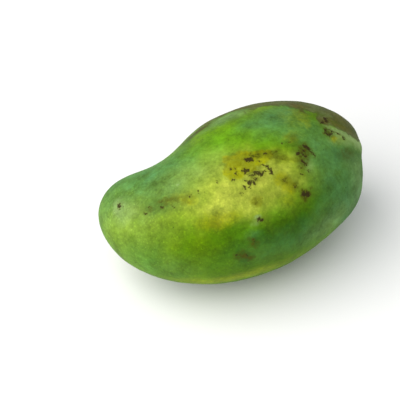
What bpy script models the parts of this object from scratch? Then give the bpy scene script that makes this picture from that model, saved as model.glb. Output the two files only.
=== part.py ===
# One green mango lying on its flatter side, as picked. Stem end towards +X, tip towards -X.
# Metres, +Z up, origin on the resting plane under the middle of the bounding box.
import math

import bmesh
import bpy

MM = 0.001

# Driving dimensions of the fruit, in millimetres and degrees.
HALF_LENGTH = 77.5
# Half widths and sideways shifts of the sections, from the stem end to the tip. The middle ones
# pull a smooth curve towards themselves, so the widest section is a little under the largest value.
HALF_WIDTHS = (50.0, 49.0, 54.0, 38.0, 49.0)
SIDE_SHIFTS = (6.0, 8.0, 0.0, -17.0, 0.0)
RISES = (5.0, -2.0, -1.0)
THICKNESS_RATIO = 0.86

# The sinus is the hollow above the tip that gives the fruit its kidney outline.
SINUS_DEPTH = 8.0
SINUS_AT = -0.5
SINUS_SPREAD = 0.24
SINUS_ANGLE = 75.0

# The cavity is the dip at the stem end where the stalk was.
CAVITY_DEPTH = 7.0
CAVITY_RADIUS = 14.0
CAVITY_SIDE = -7.0
CAVITY_UP = -1.0

# The flat spot is made by slicing this much off the lowest point.
FLAT_CUT = 0.6

SEGMENTS = 72
RINGS = 48

PEEL_COLOUR = (0.13, 0.27, 0.05, 1.0)
PEEL_ROUGHNESS = 0.5


def clear_scene():
    for item in list(bpy.data.objects):
        bpy.data.objects.remove(item, do_unlink=True)


def blend(values, share):
    """Bezier curve through the first and last value, pulled by the ones between."""
    last = len(values) - 1
    total = 0.0
    for index, value in enumerate(values):
        total += value * math.comb(last, index) * share**index * (1.0 - share) ** (last - index)
    return total


def fruit_point(unit):
    """Moves a point of the unit sphere, whose Z axis is the length, onto the mango's skin."""
    along = unit.z
    share = 0.5 * (1.0 - along)
    half_width = blend(HALF_WIDTHS, share)
    side = unit.x * half_width
    up = unit.y * half_width * THICKNESS_RATIO

    # The sinus pushes the skin towards the centre line, most strongly along its own direction.
    angle = math.atan2(unit.x, unit.y)
    facing = max(0.0, math.cos(angle - math.radians(SINUS_ANGLE))) ** 2
    dent = SINUS_DEPTH * facing * math.exp(-(((along - SINUS_AT) / SINUS_SPREAD) ** 2))
    y = blend(SIDE_SHIFTS, share) + side - dent * math.sin(angle)
    z = blend(RISES, share) + up - dent * math.cos(angle)

    x = HALF_LENGTH * along
    if along > 0.0:
        radius = math.hypot(side - CAVITY_SIDE, up - CAVITY_UP)
        x -= CAVITY_DEPTH * math.exp(-((radius / CAVITY_RADIUS) ** 2))
    return x * MM, y * MM, z * MM


def slice_flat_spot(mesh):
    """Cuts the fruit just above its lowest point and closes the cut with one flat face."""
    height = min(vert.co.z for vert in mesh.verts) + FLAT_CUT * MM
    cut = bmesh.ops.bisect_plane(
        mesh,
        geom=mesh.verts[:] + mesh.edges[:] + mesh.faces[:],
        plane_co=(0.0, 0.0, height),
        plane_no=(0.0, 0.0, 1.0),
        dist=MM * 0.001,
        clear_inner=True,
    )
    rim = [item for item in cut["geom_cut"] if isinstance(item, bmesh.types.BMEdge)]
    bmesh.ops.contextual_create(mesh, geom=rim)


def centre_on_floor(mesh):
    """Puts the middle of the bounding box over the origin and the flat spot on z = 0."""
    xs = [vert.co.x for vert in mesh.verts]
    ys = [vert.co.y for vert in mesh.verts]
    zs = [vert.co.z for vert in mesh.verts]
    middle = (0.5 * (min(xs) + max(xs)), 0.5 * (min(ys) + max(ys)), min(zs))
    bmesh.ops.translate(mesh, verts=mesh.verts[:], vec=[-value for value in middle])


def make_peel():
    peel = bpy.data.materials.new("green_peel")
    peel.use_nodes = True
    shader = peel.node_tree.nodes["Principled BSDF"]
    shader.inputs["Base Color"].default_value = PEEL_COLOUR
    shader.inputs["Roughness"].default_value = PEEL_ROUGHNESS
    shader.inputs["Metallic"].default_value = 0.0
    return peel


def make_mango(collection):
    mesh = bmesh.new()
    bmesh.ops.create_uvsphere(mesh, u_segments=SEGMENTS, v_segments=RINGS, radius=1.0)
    for vert in mesh.verts:
        # The sphere's Z axis becomes the length along X, its X the side and its Y the height.
        vert.co = fruit_point(vert.co)
    slice_flat_spot(mesh)
    centre_on_floor(mesh)
    bmesh.ops.recalc_face_normals(mesh, faces=mesh.faces[:])
    for face in mesh.faces:
        face.smooth = True

    data = bpy.data.meshes.new("mango")
    mesh.to_mesh(data)
    mesh.free()
    data.materials.append(make_peel())
    mango = bpy.data.objects.new("mango", data)
    collection.objects.link(mango)
    return mango


def main():
    clear_scene()
    collection = bpy.data.collections.new("green_mango")
    bpy.context.scene.collection.children.link(collection)
    make_mango(collection)


main()
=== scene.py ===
import math

import bpy
import numpy as np
from mathutils import Matrix, Vector


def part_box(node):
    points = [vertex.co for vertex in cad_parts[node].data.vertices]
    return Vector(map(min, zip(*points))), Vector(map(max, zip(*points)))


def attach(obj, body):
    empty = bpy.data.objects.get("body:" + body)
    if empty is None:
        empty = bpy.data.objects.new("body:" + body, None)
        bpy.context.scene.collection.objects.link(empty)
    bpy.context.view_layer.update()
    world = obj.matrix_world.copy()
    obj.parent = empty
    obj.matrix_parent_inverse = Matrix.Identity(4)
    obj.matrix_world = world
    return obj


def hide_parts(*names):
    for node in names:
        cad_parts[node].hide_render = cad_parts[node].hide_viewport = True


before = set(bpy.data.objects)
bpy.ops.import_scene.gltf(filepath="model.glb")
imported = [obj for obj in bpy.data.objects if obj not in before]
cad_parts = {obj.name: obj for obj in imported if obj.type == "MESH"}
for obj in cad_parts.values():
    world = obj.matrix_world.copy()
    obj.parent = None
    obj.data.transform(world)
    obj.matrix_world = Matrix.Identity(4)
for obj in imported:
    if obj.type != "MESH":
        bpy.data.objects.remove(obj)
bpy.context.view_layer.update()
print("frame loaded:", sorted(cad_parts))

mm = 0.001
farOff = 99.0  # millimetres: what a measure gives where it doesn't apply

# Millimetres and degrees, the same shape as the solid in the frame. A place on the skin is given
# by two angles: "along", 0 at the stem end and 180 at the tip, and "around", 0 on top, 90 on the
# side of the hollow and -90 on the bulging side.
fruit = {
    "halfLength": 77.5,
    "halfWidths": (50.0, 49.0, 54.0, 38.0, 49.0),
    "sideShifts": (6.0, 8.0, 0.0, -17.0, 0.0),
    "rises": (5.0, -2.0, -1.0),
    "thicknessRatio": 0.86,
    "hollowDepth": 8.0,
    "hollowAt": -0.5,
    "hollowSpread": 0.24,
    "hollowAngle": 75.0,
    "cavityDepth": 7.0,
    "cavityRadius": 14.0,
    "cavitySide": -7.0,
    "cavityUp": -1.0,
    "flatCut": 0.6,
    "rowsAlong": 300,
    "columnsAround": 320,
}


def ripples(points, size, seed, waves=24):
    # Smooth noise from about -1 to 1: the sum of sine waves with random headings and starts.
    # size is the usual distance between two humps, in millimetres.
    rng = np.random.default_rng(seed)
    total = np.zeros(points.shape[:-1])
    for wave in range(waves):
        heading = rng.normal(size=3)
        heading /= np.linalg.norm(heading)
        pace = 2 * np.pi / (size * rng.uniform(0.7, 1.6))
        total += np.sin(points @ heading * pace + rng.uniform(0, 2 * np.pi))
    return total / math.sqrt(waves / 2) / 1.6


def softStep(low, high, value):
    # 0 before low and 1 past high, with an S-shaped ramp between them. A low above the high turns
    # the ramp round.
    share = np.clip((value - low) / (high - low), 0, 1)
    return share * share * (3 - 2 * share)


def blend(values, share):
    # Bezier curve from the first value to the last, pulled by the ones between.
    last = len(values) - 1
    return sum(
        value * math.comb(last, index) * share**index * (1 - share) ** (last - index)
        for index, value in enumerate(values)
    )


def skin(along, around):
    # Ellipse-like rings set along a bent line. The ring at an angle a from the stem end lies at
    # the half length times cos a, and its half width is a smooth curve times sin a. A bell-shaped
    # dent makes the hollow above the tip, and another makes the dip at the stem end. Also gives
    # each point's distance from the middle of that dip, and its bearing about it.
    f = fruit
    u = np.cos(along)
    ring = np.sin(along)
    share = 0.5 * (1 - u)
    halfWidth = blend(f["halfWidths"], share)
    side = np.sin(around) * ring * halfWidth
    up = np.cos(around) * ring * halfWidth * f["thicknessRatio"]
    facing = np.clip(np.cos(around - math.radians(f["hollowAngle"])), 0, None) ** 2
    dent = f["hollowDepth"] * facing * np.exp(-(((u - f["hollowAt"]) / f["hollowSpread"]) ** 2))
    reach = np.hypot(side - f["cavitySide"], up - f["cavityUp"])
    bearing = np.arctan2(side - f["cavitySide"], up - f["cavityUp"])
    dip = f["cavityDepth"] * np.exp(-((reach / f["cavityRadius"]) ** 2)) * (u > 0)
    x = f["halfLength"] * u - dip
    y = blend(f["sideShifts"], share) + side - dent * np.sin(around)
    z = blend(f["rises"], share) + up - dent * np.cos(around)
    return np.stack([x, y, z], -1), np.where(u > 0, reach, farOff), bearing


def fitToBox(points):
    # Scales and shifts the grid, in millimetres, so that it fills the solid's box exactly.
    low, high = (np.array(corner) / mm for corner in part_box("mango"))
    pointsLow = points.min((0, 1))
    pointsHigh = points.max((0, 1))
    return (points - pointsLow) / (pointsHigh - pointsLow) * (high - low) + low


def gridNormals(points):
    # The cross product of the two grid directions at each point, turned outwards.
    alongStep = np.gradient(points, axis=0)
    aroundStep = (np.roll(points, -1, 1) - np.roll(points, 1, 1)) / 2
    normals = np.cross(aroundStep, alongStep)
    normals /= np.maximum(np.linalg.norm(normals, axis=-1, keepdims=True), 1e-9)
    normals[0] = normals[1].mean(0)
    normals[-1] = normals[-2].mean(0)
    outwards = np.sum(normals * (points - points.mean((0, 1))))
    return normals * np.sign(outwards)


rowAngles = np.linspace(0, np.pi, fruit["rowsAlong"])[:, None]
columnAngles = np.linspace(-np.pi, np.pi, fruit["columnsAround"], endpoint=False)[None]
smoothSkin, stalkReach, stalkBearing = skin(rowAngles, columnAngles)
smoothSkin[..., 2] = np.maximum(smoothSkin[..., 2], smoothSkin[..., 2].min() + fruit["flatCut"])
smoothSkin = fitToBox(smoothSkin)
smoothNormals = gridNormals(smoothSkin)


def spotOnSkin(along, around):
    # A place given in degrees, as its point and two directions on the skin: one towards the tip,
    # and one the way that "around" grows. The four grid points about it are blended.
    row = math.radians(along) / math.pi * (fruit["rowsAlong"] - 1)
    column = (math.radians(around) + math.pi) / (2 * math.pi) * fruit["columnsAround"]
    top, left = int(row), int(column)
    down, across = row - top, column - left
    rows = np.clip(np.arange(top - 1, top + 3), 0, fruit["rowsAlong"] - 1)
    columns = np.arange(left - 1, left + 3) % fruit["columnsAround"]
    near = smoothSkin[rows][:, columns]
    upper = near[1, 1] * (1 - across) + near[1, 2] * across
    lower = near[2, 1] * (1 - across) + near[2, 2] * across
    point = upper * (1 - down) + lower * down
    toTip = near[3, 1] - near[0, 1]
    toSide = near[1, 3] - near[1, 0]
    toTip /= np.linalg.norm(toTip)
    toSide -= toTip * (toSide @ toTip)
    toSide /= np.linalg.norm(toSide)
    return point, toTip, toSide


def shaken(points, size, amount, seed):
    # The same points pushed about by soft noise, so that a plain outline on them comes out ragged.
    push = np.stack([ripples(points, size, seed + axis) for axis in range(3)], -1)
    return points + push * amount


def poolReach(points, along, around, halfLength, halfWidth, turn):
    # 0 in the middle of an ellipse on the skin and 1 on its edge. Its long side points at the
    # tip, turned by "turn" degrees the way that "around" grows.
    centre, toTip, toSide = spotOnSkin(along, around)
    angle = math.radians(turn)
    long = toTip * math.cos(angle) + toSide * math.sin(angle)
    wide = toSide * math.cos(angle) - toTip * math.sin(angle)
    out = np.cross(long, wide)
    away = points - centre
    shares = [away @ long / halfLength, away @ wide / halfWidth, away @ out / max(halfLength, halfWidth)]
    return np.sqrt(sum(share**2 for share in shares))


patchReach = 18  # millimetres off a patch's plane where its paint gives out


def patchDepth(points, corners):
    # How far inside a many-sided patch each point lies, in millimetres, and negative outside it.
    # The patch is laid flat on the skin's tangent plane at its middle.
    middle = np.mean(corners, axis=0)
    centre, toTip, toSide = spotOnSkin(*middle)
    arms = [spotOnSkin(*corner)[0] - centre for corner in corners]
    flat = [(arm @ toTip, arm @ toSide) for arm in arms]
    away = points - centre
    x, y = away @ toTip, away @ toSide
    nearest = np.full(x.shape, np.inf)
    inside = np.zeros(x.shape, dtype=bool)
    for (x0, y0), (x1, y1) in zip(flat, flat[1:] + flat[:1]):
        dx, dy = x1 - x0, y1 - y0
        share = np.clip(((x - x0) * dx + (y - y0) * dy) / (dx * dx + dy * dy), 0, 1)
        nearest = np.minimum(nearest, np.hypot(x - x0 - share * dx, y - y0 - share * dy))
        if dy:
            inside ^= ((y0 > y) != (y1 > y)) & (x < (y - y0) * dx / dy + x0)
    depth = np.where(inside, nearest, -nearest)
    behind = np.abs(away @ np.cross(toTip, toSide)) / patchReach
    return depth - farOff * softStep(0.7, 1.3, behind)


# What the peel's colours are laid out with. Each pool is a soft ellipse: along, around, half
# length, half width in millimetres, turn, strength. Each patch has a firmer edge: its edge's
# softness in millimetres, strength, then its corners as along, around. shake is how far the
# outlines wander, and size how far apart their wiggles are.
zones = {
    "lime": {
        "seed": 3, "size": 14, "shake": 2.0,
        "pools": [
            (93, -34, 50, 25, 6, 0.8),
            (103, -43, 26, 11, 8, 0.5),
            (84, -31, 24, 16, 0, 0.3),
            # This pool is partly yellow-green skin and partly painted sheen of the key light.
            (111, -9, 34, 16, 0, 0.25),
            (116, -34, 20, 12, 0, 0.15),
            (77, -44, 16, 8, 0, 0.2),
            (144, -38, 40, 26, 0, 0.22),
            (153, -26, 22, 22, 0, 0.2),
            (168, -70, 30, 60, 0, 0.08),
            (46, -20, 8, 6, 0, 0.5),
            # This thin band along the underside is partly yellow-green skin and partly painted reflection
            # of warm light bounced up from below.
            (100, -112, 50, 8, -4, 0.2),
            (88, 112, 60, 34, 10, 0.6),
            (140, 125, 40, 28, 0, 0.3),
            (58, 170, 50, 30, 15, 0.4),
        ],
    },
    "deep": {
        "seed": 7, "size": 12, "shake": 2.0,
        "pools": [
            (84, -78, 50, 26, 4, 0.8),
            (62, -67, 40, 22, 0, 0.6),
            (116, -76, 46, 28, 0, 0.35),
            (100, -60, 30, 9, 0, 0.4),
            (92, -95, 60, 16, 0, 0.25),
            # The next two pools darken the hollow below the stem-end ridge: partly darker green, partly
            # painted shade in the hollow.
            (43, -37, 20, 9, 4, 0.85),
            (30, -38, 14, 7, 0, 0.5),
            (54, -46, 22, 14, 0, 0.3),
            (128, -27, 22, 8, 8, 0.85),
            (140, -28, 24, 16, 0, 0.2),
            (136, -14, 24, 12, 0, 0.3),
            # The next two pools, on top near the tip, are partly darker green and partly painted shade
            # cast from behind the fruit.
            (146, 14, 34, 34, 0, 0.35),
            (166, 10, 30, 30, 0, 0.25),
            (106, 34, 12, 8, 0, 0.7),
            (66, -8, 20, 14, 0, 0.2),
            (116, -97, 4, 3, 0, 0.35),
            (101, -82.5, 5.5, 3, 30, 0.95),
            (97, -85.5, 6, 3.4, -10, 0.95),
            (94.5, -73.5, 5, 2.8, 30, 0.8),
            (58, -62, 12, 8, 0, 0.3),
            (48, -72, 14, 7, 20, 0.25),
            (74, 16, 16, 5, -20, 0.3),
            (75, 160, 46, 24, 0, 0.5),
            (125, -165, 44, 26, 0, 0.5),
            (60, -140, 50, 26, 0, 0.4),
        ],
    },
    "fresh": {
        "seed": 41, "size": 12, "shake": 2.0,
        "pools": [
            (92, 5, 46, 22, -6, 0.8),
            (74, -10, 26, 12, -6, 0.7),
            (112, -3, 24, 20, 0, 0.35),
            (84, -58, 16, 8, 10, 0.5),
            (96, -62, 14, 7, 0, 0.4),
            (120, 120, 40, 30, 0, 0.5),
            (172, -60, 34, 80, 0, 0.3),
        ],
    },
    "bloomAndSheen": {
        "seed": 5, "size": 14, "shake": 2.0,
        "pools": [
            # The first two pools, on top of the neck, are partly waxy bloom and partly painted sheen of
            # the key light.
            (128, 9, 44, 36, 0, 0.7),
            (134, 24, 34, 20, 0, 0.2),
            (73, 9, 30, 17, -14, 0.85),
            (66, -6, 24, 14, 0, 0.45),
            (56, -26, 26, 22, 0, 0.6),
            (38, -92, 46, 46, 0, 0.8),
            (54, -48, 26, 18, 0, 0.4),
            (66, -88, 46, 16, 0, 0.4),
            (90, 30, 26, 12, 0, 0.5),
            (154, -95, 44, 36, 0, 0.25),
            (130, -96, 36, 18, 0, 0.25),
            (154, -17, 16, 14, 0, 0.25),
            (95, -68, 9, 6, 0, 0.3),
            (93, -85, 30, 16, 0, 0.2),
            (40, 110, 50, 40, 0, 0.7),
            (110, 150, 50, 36, 0, 0.5),
            (150, 80, 40, 36, 0, 0.5),
            (60, 70, 46, 28, 0, 0.45),
        ],
    },
    "pale": {
        "seed": 17, "size": 7, "shake": 1.2,
        "pools": [
            # The first three pools follow the stem-end ridge: a pale strip of skin that is partly painted
            # highlight on the ridge's lit side.
            (27, -25.5, 24, 7.5, 14, 0.7),
            (38, -18.5, 16, 5, 30, 0.6),
            (46, -10.5, 12, 3.6, 34, 0.55),
            (34, -66, 14, 26, 0, 0.3),
            (58, -92, 30, 12, 0, 0.22),
            (88, 29, 22, 8, 0, 0.35),
            # This pool is partly paler skin and partly painted sheen of the key light.
            (111, -9, 34, 16, 0, 0.15),
            (152.5, -14, 7, 6, 0, 0.55),
            (150, -25, 12, 9, 0, 0.35),
            (92.4, -59.2, 3.4, 2.4, 0, 0.75),
            (119.8, -14.5, 1.4, 1.4, 0, 0.8),
            (49, -14, 3, 2.6, 0, 0.4),
            (66, -36, 6, 8, 0, 0.25),
        ],
    },
    "olive": {
        "seed": 11, "size": 5, "shake": 0.7,
        "pools": [
            (92, -20, 18, 11, 0, 0.3),
            (109, -51, 16, 8, 6, 0.5),
            (102, -51, 14, 6, 0, 0.35),
            (117, -31, 8, 4, 10, 0.6),
            (121, -25, 16, 5, 6, 0.35),
            (70, -13, 9, 6, 0, 0.35),
            (74, -28, 18, 5, 15, 0.3),
            (48, -21, 4, 3, 0, 0.8),
            (78, -54, 10, 7, 0, 0.3),
            # The next two pools make a band along the underside: partly olive skin, partly painted
            # reflection of warm light bounced up from below.
            (98, -110, 44, 8, -5, 0.35),
            (120, -118, 30, 10, 0, 0.2),
            (66, 2, 12, 26, 0, 0.2),
        ],
        "patches": [
            (0.7, 0.75, (98.6, -9), (91, -10.5), (85, -15), (80, -18), (79, -22), (84, -25), (91, -27.5),
             (99.4, -28), (100.5, -21)),
            (0.9, 0.45, (99.6, -19), (94, -20), (92, -24), (94, -28), (99, -28.5)),
            (1.8, 0.6, (81.5, -34), (78, -33), (75.5, -39), (73, -47), (76, -51), (80, -47), (82, -40)),
            (1.0, 0.4, (93.5, -44.5), (91, -43.5), (88.3, -45), (88.2, -49), (91, -50), (93.6, -48.5)),
            (2.4, 0.3, (63.5, 14), (58.5, 15), (56, 7), (57, -5), (60, -9), (62.5, -2)),
            (1.6, 0.6, (86, 98), (80, 101), (78, 110), (84, 113), (88, 106)),
        ],
    },
    "pores": {
        "seed": 23, "size": 14, "shake": 2.0,
        "pools": [
            (145, -75, 90, 70, 0, 0.95),
            (118, -62, 60, 34, 0, 0.7),
            (155, 0, 50, 60, 0, 0.4),
            (96, -88, 70, 34, 0, 0.5),
            (60, -80, 60, 50, 0, 0.3),
            (120, 130, 90, 80, 0, 0.8),
        ],
    },
    "rim": {
        "seed": 19, "size": 3.0, "shake": 1.0,
        "pools": [
            (95, -10.5, 9, 2.4, -10, 0.45),
            (93, -18, 12, 9, 0, 0.4),
            (99.6, -15, 1.8, 8, 0, 0.35),
            (102, 36, 20, 6, 0, 0.95),
            (86, -17, 9, 4, 20, 0.85),
            (79, -20, 8, 3.2, 10, 0.7),
            (77, -25, 12, 3, 25, 0.6),
            (69, -13, 6, 4.5, 0, 0.5),
            (77, -40, 5, 5, 0, 0.6),
            (74, -47, 6, 5, 0, 0.6),
            (90.6, -47, 5, 4.4, 0, 0.55),
            (109, -52, 7, 4, 0, 0.4),
            (118, -31, 5, 3, 0, 0.5),
            (67, -27, 9, 8, 0, 0.75),
            (64.5, -23.5, 5, 6, 0, 0.7),
            (68, -34, 6, 6, 0, 0.6),
            (88, -30, 12, 8, 0, 0.45),
            (49.5, -14, 5.5, 5.5, 0, 0.85),
            (49, -1, 7, 6, 0, 0.85),
            # This pool, in the hollow below the stem-end ridge, is partly dark olive and partly painted
            # shade.
            (42, -37, 12, 6, 0, 0.5),
            (100.3, -83, 5.4, 6.4, 30, 0.8),
            (97, -86, 5, 5.4, -10, 0.8),
            (94.5, -74, 4.4, 6, 0, 0.7),
            (124, -25, 15, 3.4, 8, 0.6),
            (135, -29, 7, 3.2, 0, 0.45),
            (70, -55.5, 7.5, 5, -15, 0.9),
            (60, 24, 6, 10, 0, 0.6),
            (58, 12, 6, 7, 0, 0.6),
            (90, 103, 7, 5, 20, 0.6),
        ],
    },
}

# Grey-brown russet over the shoulder, between two lines of along, around. Edges, fades and shake
# are in degrees, and size in millimetres.
russet = {
    "lower": ((14, -24), (22, -21), (29, -18.5), (34, -15.5), (40, -10.5), (46, -3.5), (51, 4), (56, 13),
              (61, 20), (68, 25), (78, 29), (84, 35), (92, 41), (104, 44), (112, 47)),
    "upper": ((14, 96), (30, 78), (46, 68), (62, 61), (78, 58), (92, 55), (104, 52), (112, 48)),
    "lowerEdge": 4.5,
    "upperEdge": 16.0,
    "stemFade": (10, 24),
    "tipFade": (113, 92),
    "shake": 4.0,
    "fineShake": 0.45,
    "size": 9,
    "seed": 13,
}


def zoneMask(zone):
    # Soft ellipses and firmer patches, laid over each other: one minus the product of what each
    # leaves. A second shake, about a third as wide and as far, roughens the first one's outlines.
    points = shaken(smoothSkin, zone["size"], zone["shake"], zone["seed"])
    points = shaken(points, zone["size"] / 3.3, zone["shake"] / 3, zone["seed"] + 50)
    left = np.ones(points.shape[:2])
    for *place, strength in zone["pools"]:
        left *= 1 - strength * softStep(1, 0, poolReach(points, *place))
    for edge, strength, *corners in zone.get("patches", []):
        left *= 1 - strength * softStep(-edge, edge, patchDepth(points, corners))
    return 1 - left


def russetMask():
    # 1 between the two lines and 0 outside them, with the lines shaken by noise.
    r = russet
    wander = ripples(smoothSkin, r["size"], r["seed"])
    wander += r["fineShake"] * ripples(smoothSkin, r["size"] / 4, r["seed"] + 1)
    along = np.broadcast_to(np.degrees(rowAngles), wander.shape)
    around = np.degrees(columnAngles) + r["shake"] * wander
    lower = np.interp(along, *zip(*r["lower"]))
    upper = np.interp(along, *zip(*r["upper"]))
    mask = softStep(-r["lowerEdge"], r["lowerEdge"], around - lower)
    mask *= softStep(-r["upperEdge"], r["upperEdge"], upper - around)
    return mask * softStep(*r["tipFade"], along) * softStep(*r["stemFade"], along)


# Corky brown scabs and pinholes, each a rounded stroke: from along, around, to along, around,
# and half its width in millimetres.
scabs = [
    (90.4, -18.2, 88.8, -19.2, 1.15),
    (92.8, -24.2, 92.0, -26.6, 0.95),
    (92.0, -25.0, 90.9, -25.4, 0.6),
    (97.5, -28.0, 97.4, -28.3, 0.55),
    (97.8, -19.3, 97.6, -19.9, 0.4),
    (96.0, -23.8, 95.7, -25.2, 0.4),
    (95.8, -20.6, 95.7, -20.9, 0.35),
    (91.2, -29.4, 89.6, -29.3, 0.6),
    (88.8, -28.4, 87.3, -29.6, 0.6),
    (87.9, -29.6, 86.2, -31.5, 0.75),
    (86.4, -30.6, 84.6, -29.8, 0.5),
    (84.9, -26.2, 83.5, -27.1, 0.6),
    (83.6, -26.9, 82.7, -30.2, 0.65),
    (82.7, -30.2, 82.4, -32.6, 0.85),
    (92.0, -33.5, 90.2, -34.4, 0.9),
    (90.2, -34.4, 89.2, -33.4, 0.5),
    (93.5, -31.6, 92.7, -32.0, 0.5),
    (89.6, -31.7, 88.9, -33.2, 0.4),
    (94.5, -34.4, 94.0, -36.6, 0.45),
    (96.3, -38.0, 96.1, -38.3, 0.45),
    (92.6, -36.4, 91.6, -36.2, 0.35),
    (86.0, -21.0, 85.6, -21.4, 0.45),
    (82.4, -18.4, 82.0, -19.0, 0.45),
    (74.2, -15.4, 74.1, -15.8, 0.45),
    (70.6, -16.6, 70.4, -16.9, 0.3),
    (69.2, -26.2, 67.2, -27.6, 0.8),
    (67.2, -27.6, 65.8, -30.2, 0.6),
    (66.6, -25.4, 65.6, -26.8, 0.6),
    (64.6, -22.8, 63.4, -25.6, 0.95),
    (62.9, -27.6, 61.4, -31.4, 0.5),
    (67.9, -32.6, 67.2, -35.2, 0.75),
    (69.6, -36.6, 69.3, -37.4, 0.45),
    (70.2, -40.6, 69.6, -41.4, 0.45),
    (66.6, -40.6, 66.3, -41.0, 0.35),
    (74.2, -47.2, 73.6, -47.4, 0.4),
    (77.6, -40.3, 77.0, -40.6, 0.4),
    (71.2, -54.6, 69.0, -56.6, 1.3),
    (69.3, -53.6, 68.4, -56.2, 0.5),
    (91.9, -59.4, 90.1, -60.0, 0.85),
    (48.0, 2.4, 47.7, -1.6, 1.1),
    (49.8, -2.6, 51.4, -4.2, 0.7),
    (46.4, 3.6, 46.2, 1.8, 0.5),
    (50.9, -11.2, 51.5, -14.6, 0.6),
    (51.5, -14.6, 50.3, -17.2, 0.7),
    (50.3, -17.2, 48.2, -16.6, 0.55),
    (48.2, -16.6, 47.4, -13.6, 0.5),
    (47.4, -13.6, 48.6, -11.4, 0.45),
    (48.6, -11.4, 50.9, -11.2, 0.5),
    (45.9, -14.6, 44.0, -16.2, 0.43),
    (44.0, -16.2, 42.4, -19.4, 0.5),
    (42.4, -19.4, 41.4, -22.4, 0.62),
    (151.8, -13.2, 151.6, -15.2, 1.35),
    (151.6, -15.4, 152.3, -19.8, 0.4),
    (137.9, -32.0, 137.5, -32.6, 0.5),
    (135.2, -26.5, 135.0, -26.8, 0.3),
    (129.4, -28.4, 129.0, -29.8, 0.6),
    (128.6, -24.4, 128.5, -24.8, 0.35),
    (124.0, -32.0, 123.9, -32.2, 0.35),
    (116.0, -27.4, 115.7, -28.0, 0.55),
    (112.1, -26.4, 112.0, -26.7, 0.45),
    (104.2, -24.0, 104.0, -24.2, 0.25),
    (93.5, 98.0, 91.4, 100.0, 1),
    (91.4, 100.0, 90.0, 104.0, 0.7),
    (95.5, 104.0, 95.0, 104.4, 0.6),
    (66.5, 127.0, 65.4, 129.6, 0.8),
    (118.0, 150.0, 117.6, 150.6, 0.6),
    (104.0, -140.0, 102.6, -142.0, 0.7),
    (101.8, -81.6, 101.0, -82.6, 0.45),
    (97.8, -84.8, 97.2, -85.4, 0.35),
    (94.9, -72.6, 94.5, -73.4, 0.3),
]

# How the skin stands up from the plain shape, in millimetres.
relief = {
    "lumps": 0.2,
    "lumpSize": 34,
    "lumpSeed": 29,
    "dimples": 0.045,
    "dimpleSize": 8,
    "dimpleSeed": 31,
    # along, around, half length, half width, turn, height
    "swellings": [
        (30, -25, 26, 8, 12, 0.9),
        (44, -40, 22, 11, 0, -0.9),
        (36, 60, 22, 10, -20, 0.8),
        (34, 150, 22, 10, 10, 0.8),
        (34, -120, 22, 10, -10, 0.7),
    ],
    "scabHeight": 0.16,
    "scabSlope": 0.8,
    "restFade": 1.5,
}

# The dried stalk scar at the bottom of the dip, in millimetres.
stalk = {
    "radius": 4.2,
    "height": 1.5,
    "sink": 2.6,
    "sinkRadius": 13.0,
    "creases": 7,
    "creaseDepth": 0.45,
    "creaseReach": 17,
    "creaseBend": 0.35,
    "bendSize": 12,
    "bendSeed": 43,
    "crumble": 0.25,
    "crumbleSize": 2.5,
    "crumbleSeed": 37,
}


def strokeEnds(along, around, toAlong, toAround):
    return spotOnSkin(along, around)[0], spotOnSkin(toAlong, toAround)[0]


def scabRise():
    # A low rise under each scab: full inside its stroke, and sloping off past the stroke's edge.
    rise = np.zeros(smoothSkin.shape[:2])
    for *ends, halfWidth in scabs:
        start, end = strokeEnds(*ends)
        run = end - start
        share = np.clip((smoothSkin - start) @ run / (run @ run), 0, 1)
        away = np.linalg.norm(smoothSkin - start - share[..., None] * run, axis=-1)
        rise += min(halfWidth, 1) * softStep(halfWidth + relief["scabSlope"], halfWidth * 0.4, away)
    return relief["scabHeight"] * rise


def stalkRise():
    # A deeper dip at the stem end, creases that run out from its middle as the cosine of a bent
    # bearing, and a crumbly disc whose own middle has sunk to half its height.
    c = stalk
    bend = c["creaseBend"] * ripples(smoothSkin, c["bendSize"], c["bendSeed"])
    creased = np.cos(c["creases"] * (stalkBearing + bend))
    creased *= softStep(c["radius"], c["radius"] + 3, stalkReach)
    rise = c["creaseDepth"] * creased * softStep(c["creaseReach"], 5, stalkReach)
    rise -= c["sink"] * softStep(c["sinkRadius"], 2, stalkReach)
    disc = softStep(c["radius"] * 1.2, c["radius"] * 0.85, stalkReach)
    disc *= 1 - 0.5 * softStep(2.6, 0.8, stalkReach)
    disc *= 1 + c["crumble"] * ripples(smoothSkin, c["crumbleSize"], c["crumbleSeed"])
    return rise + c["height"] * disc


def reliefHeight():
    # Long lumps and small dimples of noise, a few wide swellings, the scabs and the stem end. The
    # spot that the fruit rests on stays flat.
    r = relief
    height = r["lumps"] * ripples(smoothSkin, r["lumpSize"], r["lumpSeed"])
    height += r["dimples"] * ripples(smoothSkin, r["dimpleSize"], r["dimpleSeed"])
    for *place, rise in r["swellings"]:
        height += rise * softStep(1, 0, poolReach(smoothSkin, *place))
    height += scabRise() + stalkRise()
    return height * softStep(0, r["restFade"], smoothSkin[..., 2] - smoothSkin[..., 2].min())


def addFlatMap(mesh, rows, columns):
    # A flat map for anyone who paints or bakes the skin: columns across it and rows up it. The
    # corners come in the order of the faces: the quads, then the caps at the first and last rows.
    left = np.tile(np.arange(columns), rows - 3)
    low = np.repeat(np.arange(1, rows - 2), columns)
    quadU = np.stack([left, left + 1, left + 1, left], -1)
    quadV = np.stack([low, low, low + 1, low + 1], -1)
    edge = np.arange(columns)
    bottom = np.zeros(columns)
    top = np.full(columns, rows - 1)
    firstU = np.stack([edge + 0.5, edge + 1, edge], -1)
    firstV = np.stack([bottom, bottom + 1, bottom + 1], -1)
    lastU = np.stack([edge + 0.5, edge, edge + 1], -1)
    lastV = np.stack([top, top - 1, top - 1], -1)
    u = np.concatenate([quadU.ravel(), firstU.ravel(), lastU.ravel()]) / columns
    v = np.concatenate([quadV.ravel(), firstV.ravel(), lastV.ravel()]) / (rows - 1)
    flatMap = mesh.uv_layers.new(name="OFBake")
    flatMap.data.foreach_set("uv", np.stack([u, v], -1).ravel().astype(np.float32))


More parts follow.
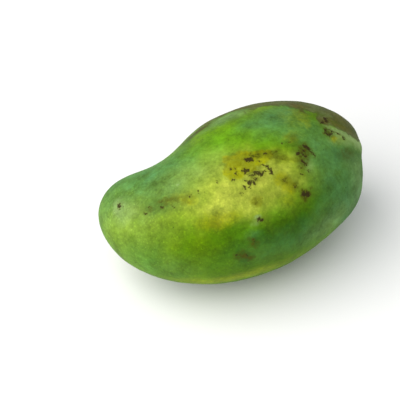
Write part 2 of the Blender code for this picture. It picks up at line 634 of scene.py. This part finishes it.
def closedSkinMesh(name, points, masks):
    # Rows run along the fruit and columns around it. The first and last rows are single points.
    rows, columns = points.shape[:2]
    body = points[1:-1].reshape(-1, 3)
    verts = np.vstack([body, points[0, 0], points[-1, 0]]) * mm
    index = np.arange((rows - 2) * columns).reshape(rows - 2, columns)
    right = np.roll(index, -1, 1)
    quads = np.stack([index[:-1], right[:-1], right[1:], index[1:]], -1).reshape(-1, 4)
    first = np.full(columns, body.shape[0])
    firstCap = np.stack([first, right[0], index[0]], -1)
    lastCap = np.stack([first + 1, index[-1], right[-1]], -1)
    mesh = bpy.data.meshes.new(name)
    mesh.from_pydata(verts.tolist(), [], quads.tolist() + firstCap.tolist() + lastCap.tolist())
    mesh.polygons.foreach_set("use_smooth", np.ones(len(mesh.polygons), dtype=bool))
    for maskName, mask in masks.items():
        values = np.concatenate([mask[1:-1].ravel(), [mask[0, 0]], [mask[-1, 0]]])
        stored = mesh.attributes.new(maskName, "FLOAT", "POINT")
        stored.data.foreach_set("value", values.astype(np.float32))
    addFlatMap(mesh, rows, columns)
    mesh.update()
    return mesh


def buildMango():
    points = smoothSkin + smoothNormals * reliefHeight()[..., None]
    points[..., 2] = np.maximum(points[..., 2], smoothSkin[..., 2].min())
    points = fitToBox(points)
    masks = {name: zoneMask(zone) for name, zone in zones.items()}
    masks["russet"] = russetMask()
    masks["stalkReach"] = stalkReach
    mesh = closedSkinMesh("mangoSkin", points, masks)
    mango = bpy.data.objects.new("mangoSkin", mesh)
    bpy.context.collection.objects.link(mango)
    return mango


mango = buildMango()
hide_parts("mango")
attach(mango, "root")
print("mango skin built:", len(mango.data.polygons), "faces")


def addNode(tree, kind, settings=None, inputs=None):
    # A shader node with its settings, and its inputs as values or as other nodes' outputs.
    node = tree.nodes.new(kind)
    for key, value in (settings or {}).items():
        setattr(node, key, value)
    for key, value in (inputs or {}).items():
        if isinstance(value, bpy.types.NodeSocket):
            tree.links.new(value, node.inputs[key])
        else:
            node.inputs[key].default_value = value
    return node


def maths(tree, operation, *values, clamp=False):
    settings = {"operation": operation, "use_clamp": clamp}
    return addNode(tree, "ShaderNodeMath", settings, dict(enumerate(values))).outputs[0]


def vectors(tree, operation, inputs):
    return addNode(tree, "ShaderNodeVectorMath", {"operation": operation}, inputs).outputs


def mixColours(tree, share, first, second, way="MIX"):
    settings = {"data_type": "RGBA", "blend_type": way}
    return addNode(tree, "ShaderNodeMix", settings, {0: share, 6: first, 7: second}).outputs[2]


def newGroup(name, inputs, outputs):
    # An empty node group with its named sockets, each of the kind Float, Color or Vector.
    group = bpy.data.node_groups.new(name, "ShaderNodeTree")
    for socketName, kind in inputs:
        group.interface.new_socket(socketName, in_out="INPUT", socket_type="NodeSocket" + kind)
    for socketName, kind in outputs:
        group.interface.new_socket(socketName, in_out="OUTPUT", socket_type="NodeSocket" + kind)
    entry = group.nodes.new("NodeGroupInput")
    leave = group.nodes.new("NodeGroupOutput")
    return group, entry.outputs, leave.inputs


def useGroup(tree, group, inputs):
    return addNode(tree, "ShaderNodeGroup", {"node_tree": group}, inputs).outputs


def stainGroup():
    # Lays a pigment over a colour. The noise swells and thins the mask, and the softness says
    # how gently the stain begins: 1 follows the mask as it is, and less gives a firmer edge.
    group, entry, leave = newGroup(
        "stain",
        [("Colour", "Color"), ("Pigment", "Color"), ("Mask", "Float"), ("Noise", "Float"),
         ("Breakup", "Float"), ("Softness", "Float")],
        [("Colour", "Color"), ("Amount", "Float")],
    )
    centred = maths(group, "SUBTRACT", entry["Noise"], 0.5)
    swing = maths(group, "MULTIPLY_ADD", centred, entry["Breakup"], 1.0)
    pushed = maths(group, "SUBTRACT", maths(group, "MULTIPLY", entry["Mask"], swing), 0.5)
    firm = maths(group, "DIVIDE", pushed, entry["Softness"])
    amount = maths(group, "ADD", firm, 0.5, clamp=True)
    group.links.new(mixColours(group, amount, entry["Colour"], entry["Pigment"]), leave["Colour"])
    group.links.new(amount, leave["Amount"])
    return group


def strokeGroup():
    # A rounded stroke: how far inside its edge a place lies, in millimetres, or the depth inside
    # the strokes before it where that is more. Minimum and maximum stand in for clamping, which
    # overfills the renderer's stack when this many strokes are chained.
    group, entry, leave = newGroup(
        "stroke",
        [("Place", "Vector"), ("Start", "Vector"), ("Run", "Vector"),
         ("Half Width", "Float"), ("Others", "Float")],
        [("Depth", "Float")],
    )

    away = vectors(group, "SUBTRACT", {0: entry["Place"], 1: entry["Start"]})[0]
    covered = vectors(group, "DOT_PRODUCT", {0: away, 1: entry["Run"]})["Value"]
    whole = vectors(group, "DOT_PRODUCT", {0: entry["Run"], 1: entry["Run"]})["Value"]
    share = maths(group, "MINIMUM", 1.0, maths(group, "DIVIDE", covered, whole))
    share = maths(group, "MAXIMUM", 0.0, share)
    nearest = vectors(group, "SCALE", {0: entry["Run"], "Scale": share})[0]
    gap = vectors(group, "DISTANCE", {0: away, 1: nearest})["Value"]
    depth = maths(group, "SUBTRACT", entry["Half Width"], gap)
    group.links.new(maths(group, "MAXIMUM", depth, entry["Others"]), leave["Depth"])
    return group


def poreGroup():
    # Round pores scattered over the skin: 1 in the middle of each, falling to 0 at its edge.
    group, entry, leave = newGroup(
        "pores",
        [("Place", "Vector"), ("Spacing", "Float"), ("Size", "Float")],
        [("Pores", "Float"), ("Shade", "Float")],
    )
    scale = maths(group, "DIVIDE", 1.0, entry["Spacing"])
    inputs = {"Vector": entry["Place"], "Scale": scale}
    cells = addNode(group, "ShaderNodeTexVoronoi", {"feature": "F1"}, inputs)
    tone = addNode(group, "ShaderNodeSeparateColor", None, {0: cells.outputs["Color"]})
    uneven = maths(group, "MULTIPLY_ADD", tone.outputs[0], 0.8, 0.6)
    radius = maths(group, "MULTIPLY", entry["Size"], uneven)
    fill = maths(group, "DIVIDE", cells.outputs["Distance"], radius)
    pore = maths(group, "SUBTRACT", 1.0, fill, clamp=True)
    group.links.new(pore, leave["Pores"])
    group.links.new(tone.outputs[1], leave["Shade"])
    return group


peel = {
    # linear colours
    "colours": {
        "leafGreen": (0.082, 0.2, 0.0),
        "yellowGreen": (0.135, 0.225, 0.0),
        "lime": (0.4, 0.445, 0.052),
        "deep": (0.018, 0.085, 0.0),
        "fresh": (0.115, 0.29, 0.006),
        # bluish green of the waxy bloom, which on the neck also stands in for painted sheen
        "bloomAndSheen": (0.076, 0.208, 0.064),
        "pale": (0.25, 0.36, 0.13),
        "olive": (0.26, 0.28, 0.0),
        "rim": (0.055, 0.062, 0.002),
        "russet": (0.08, 0.074, 0.024),
        "rust": (0.135, 0.1, 0.012),
        "silver": (0.135, 0.165, 0.06),
        "russetEdge": (0.04, 0.036, 0.004),
        "halo": (0.08, 0.082, 0.005),
        "scab": (0.031, 0.021, 0.006),
        "scabEdge": (0.045, 0.038, 0.006),
        "speck": (0.02, 0.028, 0.003),
        "cork": (0.2, 0.14, 0.075),
        "corkRim": (0.035, 0.024, 0.012),
    },
    # noises: millimetres between humps, detail, roughness
    "noises": {
        "broad": (24, 4.0, 0.55),
        "wide": (13, 3.0, 0.55),
        "patchy": (7, 5.0, 0.62),
        "fine": (1.9, 3.0, 0.6),
        "grain": (0.9, 2.0, 0.55),
        "rimBreaks": (1.9, 4.0, 0.7),
        "rustPatches": (11, 3.0, 0.55),
        "silverPatches": (8, 4.0, 0.6),
        "tears": (1.0, 3.0, 0.65),
        "corkGrain": (1.0, 4.0, 0.55),
    },
    # what is laid on the green, in order: zone, its noise, how far that breaks it up, softness
    "layers": [
        ("deep", "patchy", 1.3, 1.0),
        ("fresh", "patchy", 1.3, 1.0),
        ("lime", "patchy", 1.3, 1.0),
        ("bloomAndSheen", "patchy", 1.5, 1.0),
        ("olive", "fine", 1.6, 0.85),
        ("pale", "patchy", 1.0, 1.0),
    ],
    # how far each noise lightens and darkens the skin
    "mottling": [("wide", 0.9), ("patchy", 1.0), ("fine", 0.8), ("grain", 0.35)],
    # pores, crumbs and pin specks: millimetres apart, and size as a share of that
    "pores": (1.5, 0.42),
    "crumbs": (1.7, 0.4),
    "pins": (7.0, 0.06),
    "poreLift": 0.6,
    "russetVeil": 0.82,
    "scabBend": 3.4,
    "scabBendScale": 0.55,
    "haloStrength": 0.5,
    "scabStrength": 0.92,
    "pinStrength": 0.6,
    "dipDarkeningStrength": 0.6,
    "roughness": 0.5,
    "gloss": 0.07,
    "bumpHeight": 0.2,
    "bumpStrength": 0.6,
}
paint = {name: (*colour, 1.0) for name, colour in peel["colours"].items()}


def noise(tree, place, size, detail, rough):
    # Soft noise around a half, with humps about size millimetres apart.
    values = {"Vector": place, "Scale": 1 / size, "Detail": detail, "Roughness": rough}
    return addNode(tree, "ShaderNodeTexNoise", None, values).outputs["Fac"]


def zoneShare(tree, name):
    return addNode(tree, "ShaderNodeAttribute", {"attribute_name": name}).outputs["Fac"]


def swing(tree, value, amount, base):
    # The base, moved up and down by a value around a half.
    return maths(tree, "MULTIPLY_ADD", maths(tree, "SUBTRACT", value, 0.5), amount, base)


def spread(tree, value, gain, base):
    # The value times a gain, plus a base, held between 0 and 1.
    return maths(tree, "MULTIPLY_ADD", value, gain, base, clamp=True)


def lay(tree, colour, pigment, coverage, noiseValue, breakup, softness):
    values = {"Colour": colour, "Pigment": pigment, "Mask": coverage, "Noise": noiseValue,
              "Breakup": breakup, "Softness": softness}
    return useGroup(tree, stainNodes, values)


def scatter(tree, place, spots):
    spacing, size = spots
    return useGroup(tree, poreNodes, {"Place": place, "Spacing": spacing, "Size": size})


def greenSkin(tree, fields, dots):
    # Leaf green that drifts to yellow green, the zones laid over it, then mottling in every colour
    # and paler pores, thick on the tip's half and the flanks.
    drift = maths(tree, "SUBTRACT", fields["broad"], 0.5)
    drift = spread(tree, drift, 1.8, 0.45)
    colour = mixColours(tree, drift, paint["leafGreen"], paint["yellowGreen"])
    for name, kind, breakup, softness in peel["layers"]:
        laid = lay(tree, colour, paint[name], zoneShare(tree, name), fields[kind], breakup, softness)
        colour = laid["Colour"]
    uneven = maths(tree, "MULTIPLY_ADD", dots["Shade"], 0.8, 0.1)
    thick = maths(tree, "MULTIPLY_ADD", zoneShare(tree, "pores"), 0.85, 0.15)
    poreShare = maths(tree, "MULTIPLY", maths(tree, "MULTIPLY", dots["Pores"], uneven), thick)
    shade = 0.99
    for kind, amount in peel["mottling"]:
        shade = swing(tree, fields[kind], amount, shade)
    shade = maths(tree, "MULTIPLY_ADD", poreShare, peel["poreLift"], shade)
    colour = mixColours(tree, 1.0, colour, shade, "MULTIPLY")
    laid = lay(tree, colour, paint["rim"], zoneShare(tree, "rim"), fields["rimBreaks"], 3.6, 0.85)
    return laid["Colour"]


def russetCrust(tree, fields, colour):
    # Grey brown with rusty and silvery patches, a thin veil of green in it, and a dark broken edge
    # where the stain is neither full nor gone.
    rusty = spread(tree, fields["rustPatches"], 2.6, -1.0)
    crust = mixColours(tree, rusty, paint["russet"], paint["rust"])
    silvery = spread(tree, fields["silverPatches"], 3.0, -1.25)
    crust = mixColours(tree, silvery, crust, paint["silver"])
    crust = mixColours(tree, 1.0, crust, swing(tree, fields["fine"], 1.0, 1.0), "MULTIPLY")
    crusted = lay(tree, colour, crust, zoneShare(tree, "russet"), fields["patchy"], 2.4, 0.8)
    rest = maths(tree, "SUBTRACT", 1.0, crusted["Amount"])
    border = maths(tree, "MULTIPLY", crusted["Amount"], rest)
    border = maths(tree, "MULTIPLY", border, swing(tree, fields["fine"], 6.0, 1.6), clamp=True)
    veiled = mixColours(tree, peel["russetVeil"], colour, crusted["Colour"])
    return mixColours(tree, border, veiled, paint["russetEdge"])


def bentPlace(tree, place):
    # The same place pushed about by noise, so that strokes drawn on it come out crooked.
    push = peel["scabBend"]
    values = {"Vector": place, "Scale": peel["scabBendScale"], "Detail": 2.0}
    bends = addNode(tree, "ShaderNodeTexNoise", None, values).outputs["Color"]
    pushed = vectors(tree, "MULTIPLY_ADD", {0: bends, 1: (push, push, push), 2: place})[0]
    return vectors(tree, "SUBTRACT", {0: pushed, 1: (push / 2, push / 2, push / 2)})[0]


def corkyScabs(tree, fields, colour):
    # Scabs with torn edges and small crumbs about them, each in a faint brown halo. Also gives
    # how much of a scab covers each place.
    bent = bentPlace(tree, fields["place"])
    depth = -9.0  # well outside every stroke
    for *ends, halfWidth in scabs:
        start, end = strokeEnds(*ends)
        values = {"Place": bent, "Start": start, "Run": end - start, "Half Width": halfWidth,
                  "Others": depth}
        depth = useGroup(tree, strokeNodes, values)["Depth"]
    halo = spread(tree, swing(tree, fields["fine"], 5.0, depth), 0.4, 0.55)
    halo = maths(tree, "MULTIPLY", halo, peel["haloStrength"])
    colour = mixColours(tree, halo, colour, paint["halo"])
    crumbs = scatter(tree, bent, peel["crumbs"])
    near = spread(tree, depth, 0.5, 1.25)
    crumbDepth = maths(tree, "MULTIPLY", crumbs["Pores"], crumbs["Shade"])
    crumbDepth = maths(tree, "MULTIPLY_ADD", crumbDepth, 1.6, -1.75)
    crumbDepth = maths(tree, "MULTIPLY_ADD", near, 0.9, crumbDepth)
    torn = maths(tree, "MAXIMUM", swing(tree, fields["tears"], 2.6, depth), crumbDepth)
    scabShare = spread(tree, torn, 2.0, 0.6)
    core = spread(tree, torn, 2.2, 0.1)
    crust = mixColours(tree, core, paint["scabEdge"], paint["scab"])
    cover = maths(tree, "MULTIPLY", scabShare, peel["scabStrength"])
    return mixColours(tree, cover, colour, crust), scabShare


def pinSpecks(tree, fields, colour):
    pins = scatter(tree, fields["place"], peel["pins"])
    pinShare = maths(tree, "MULTIPLY", pins["Pores"], 2.0, clamp=True)
    pinShare = maths(tree, "MULTIPLY", pinShare, peel["pinStrength"])
    return mixColours(tree, pinShare, colour, paint["speck"])


def stalkScar(tree, fields, colour):
    # Grey brown darkening in the dip round the scar, strongest near its middle, and in it a dark rim
    # round a paler fibrous middle. Also gives how much of the scar covers each place.
    reach = swing(tree, fields["patchy"], 2.4, zoneShare(tree, "stalkReach"))
    dipDarkening = spread(tree, swing(tree, fields["fine"], 6.0, reach), -0.16, 1.7)
    dipDarkening = maths(tree, "MULTIPLY", dipDarkening, peel["dipDarkeningStrength"])
    colour = mixColours(tree, dipDarkening, colour, paint["russet"])
    cork = spread(tree, reach, -1.6, 7.6)
    pith = spread(tree, swing(tree, fields["grain"], 4.0, reach), -0.9, 3.4)
    fibres = mixColours(tree, 1.0, paint["cork"], swing(tree, fields["grain"], 2.4, 1.0), "MULTIPLY")
    scar = mixColours(tree, pith, paint["corkRim"], fibres)
    return mixColours(tree, cork, colour, scar), cork


def dullness(tree, fields, scabShare, cork):
    # The bloom-and-sheen zone, russet and cork are duller than the clean skin.
    dull = maths(tree, "MULTIPLY_ADD", zoneShare(tree, "bloomAndSheen"), 0.12, peel["roughness"])
    dull = swing(tree, fields["patchy"], 0.2, dull)
    dull = maths(tree, "MULTIPLY_ADD", zoneShare(tree, "russet"), 0.1, dull)
    dull = maths(tree, "MULTIPLY_ADD", scabShare, 0.2, dull)
    return maths(tree, "MULTIPLY_ADD", cork, 0.3, dull)


def skinBump(tree, fields, dots, scabShare, cork):
    # Pores sink, scabs stand up, and the whole skin has a fine grain.
    rough = maths(tree, "MULTIPLY", zoneShare(tree, "russet"), fields["grain"])
    fibrous = maths(tree, "MULTIPLY", cork, fields["corkGrain"])
    height = maths(tree, "MULTIPLY", dots["Pores"], -0.2)
    height = maths(tree, "MULTIPLY_ADD", fields["fine"], 0.3, height)
    height = maths(tree, "MULTIPLY_ADD", scabShare, 0.8, height)
    height = maths(tree, "MULTIPLY_ADD", rough, 0.6, height)
    height = maths(tree, "MULTIPLY_ADD", fibrous, 2.5, height)
    values = {"Height": height, "Distance": peel["bumpHeight"] * mm, "Strength": peel["bumpStrength"]}
    return addNode(tree, "ShaderNodeBump", None, values).outputs[0]


def peelMaterial():
    material = bpy.data.materials.new("peel")
    material.use_nodes = True
    tree = material.node_tree
    shader = tree.nodes["Principled BSDF"]
    spot = addNode(tree, "ShaderNodeTexCoord").outputs["Object"]
    place = vectors(tree, "SCALE", {0: spot, "Scale": 1 / mm})[0]
    fields = {name: noise(tree, place, *shape) for name, shape in peel["noises"].items()}
    fields["place"] = place
    dots = scatter(tree, place, peel["pores"])
    colour = greenSkin(tree, fields, dots)
    colour = russetCrust(tree, fields, colour)
    colour, scabShare = corkyScabs(tree, fields, colour)
    colour = pinSpecks(tree, fields, colour)
    colour, cork = stalkScar(tree, fields, colour)
    tree.links.new(colour, shader.inputs["Base Color"])
    tree.links.new(dullness(tree, fields, scabShare, cork), shader.inputs["Roughness"])
    tree.links.new(skinBump(tree, fields, dots, scabShare, cork), shader.inputs["Normal"])
    shader.inputs["Specular IOR Level"].default_value = peel["gloss"]
    return material


stainNodes = stainGroup()
strokeNodes = strokeGroup()
poreNodes = poreGroup()
mango.data.materials.append(peelMaterial())
print("peel painted")

studio = {
    "cameraAt": (-0.1934, -0.6056, 0.6438),
    "cameraLooksAt": (-0.0076, 0.0423, 0.0),
    "cameraRoll": -0.77,
    "lens": 144.0,
    "sensorWidth": 36.0,
    "floorReach": 4,
    "floorColour": (0.9, 0.9, 0.9, 1.0),
    "floorRoughness": 0.8,
    "skyColour": (0.95, 0.98, 1.0, 1.0),
    "skyStrength": 0.55,
    # azimuth 0 is in front and -90 to the left; the rest is in metres and watts
    "key": {"azimuth": -78, "elevation": 45, "distance": 1.6, "aimHeight": 0.04, "size": (2.4, 2.4),
            "watts": 47, "colour": (1.0, 0.98, 0.95)},
}


def placeCamera():
    data = bpy.data.cameras.new("camera")
    data.lens = studio["lens"]
    data.sensor_width = studio["sensorWidth"]
    camera = bpy.data.objects.new("camera", data)
    bpy.context.collection.objects.link(camera)
    place = Vector(studio["cameraAt"])
    aim = Vector(studio["cameraLooksAt"]) - place
    turn = aim.to_track_quat("-Z", "Y").to_matrix().to_4x4()
    roll = Matrix.Rotation(math.radians(studio["cameraRoll"]), 4, "Z")
    camera.matrix_world = Matrix.Translation(place) @ turn @ roll
    bpy.context.scene.camera = camera


def softbox(name, box):
    data = bpy.data.lights.new(name, "AREA")
    data.shape = "RECTANGLE"
    data.size, data.size_y = box["size"]
    data.energy = box["watts"]
    data.color = box["colour"]
    lamp = bpy.data.objects.new(name, data)
    bpy.context.collection.objects.link(lamp)
    azimuth, elevation = math.radians(box["azimuth"]), math.radians(box["elevation"])
    level = math.cos(elevation)
    back = Vector((math.sin(azimuth) * level, -math.cos(azimuth) * level, math.sin(elevation)))
    lamp.location = back * box["distance"] + Vector((0, 0, box["aimHeight"]))
    lamp.rotation_mode = "QUATERNION"
    lamp.rotation_quaternion = back.to_track_quat("Z", "Y")


def layFloor():
    far = studio["floorReach"]
    mesh = bpy.data.meshes.new("floor")
    mesh.from_pydata([(-far, -far, 0), (far, -far, 0), (far, far, 0), (-far, far, 0)], [], [(0, 1, 2, 3)])
    floor = bpy.data.objects.new("floor", mesh)
    bpy.context.collection.objects.link(floor)
    matt = bpy.data.materials.new("floorPaint")
    matt.use_nodes = True
    shader = matt.node_tree.nodes["Principled BSDF"]
    shader.inputs["Base Color"].default_value = studio["floorColour"]
    shader.inputs["Roughness"].default_value = studio["floorRoughness"]
    mesh.materials.append(matt)


def lightRoom():
    room = bpy.data.worlds.new("softRoom")
    room.use_nodes = True
    background = room.node_tree.nodes["Background"]
    background.inputs["Color"].default_value = studio["skyColour"]
    background.inputs["Strength"].default_value = studio["skyStrength"]
    bpy.context.scene.world = room
    bpy.context.scene.view_settings.view_transform = "Standard"
    softbox("keyBox", studio["key"])


layFloor()
lightRoom()
placeCamera()
print("floor, light and camera placed")
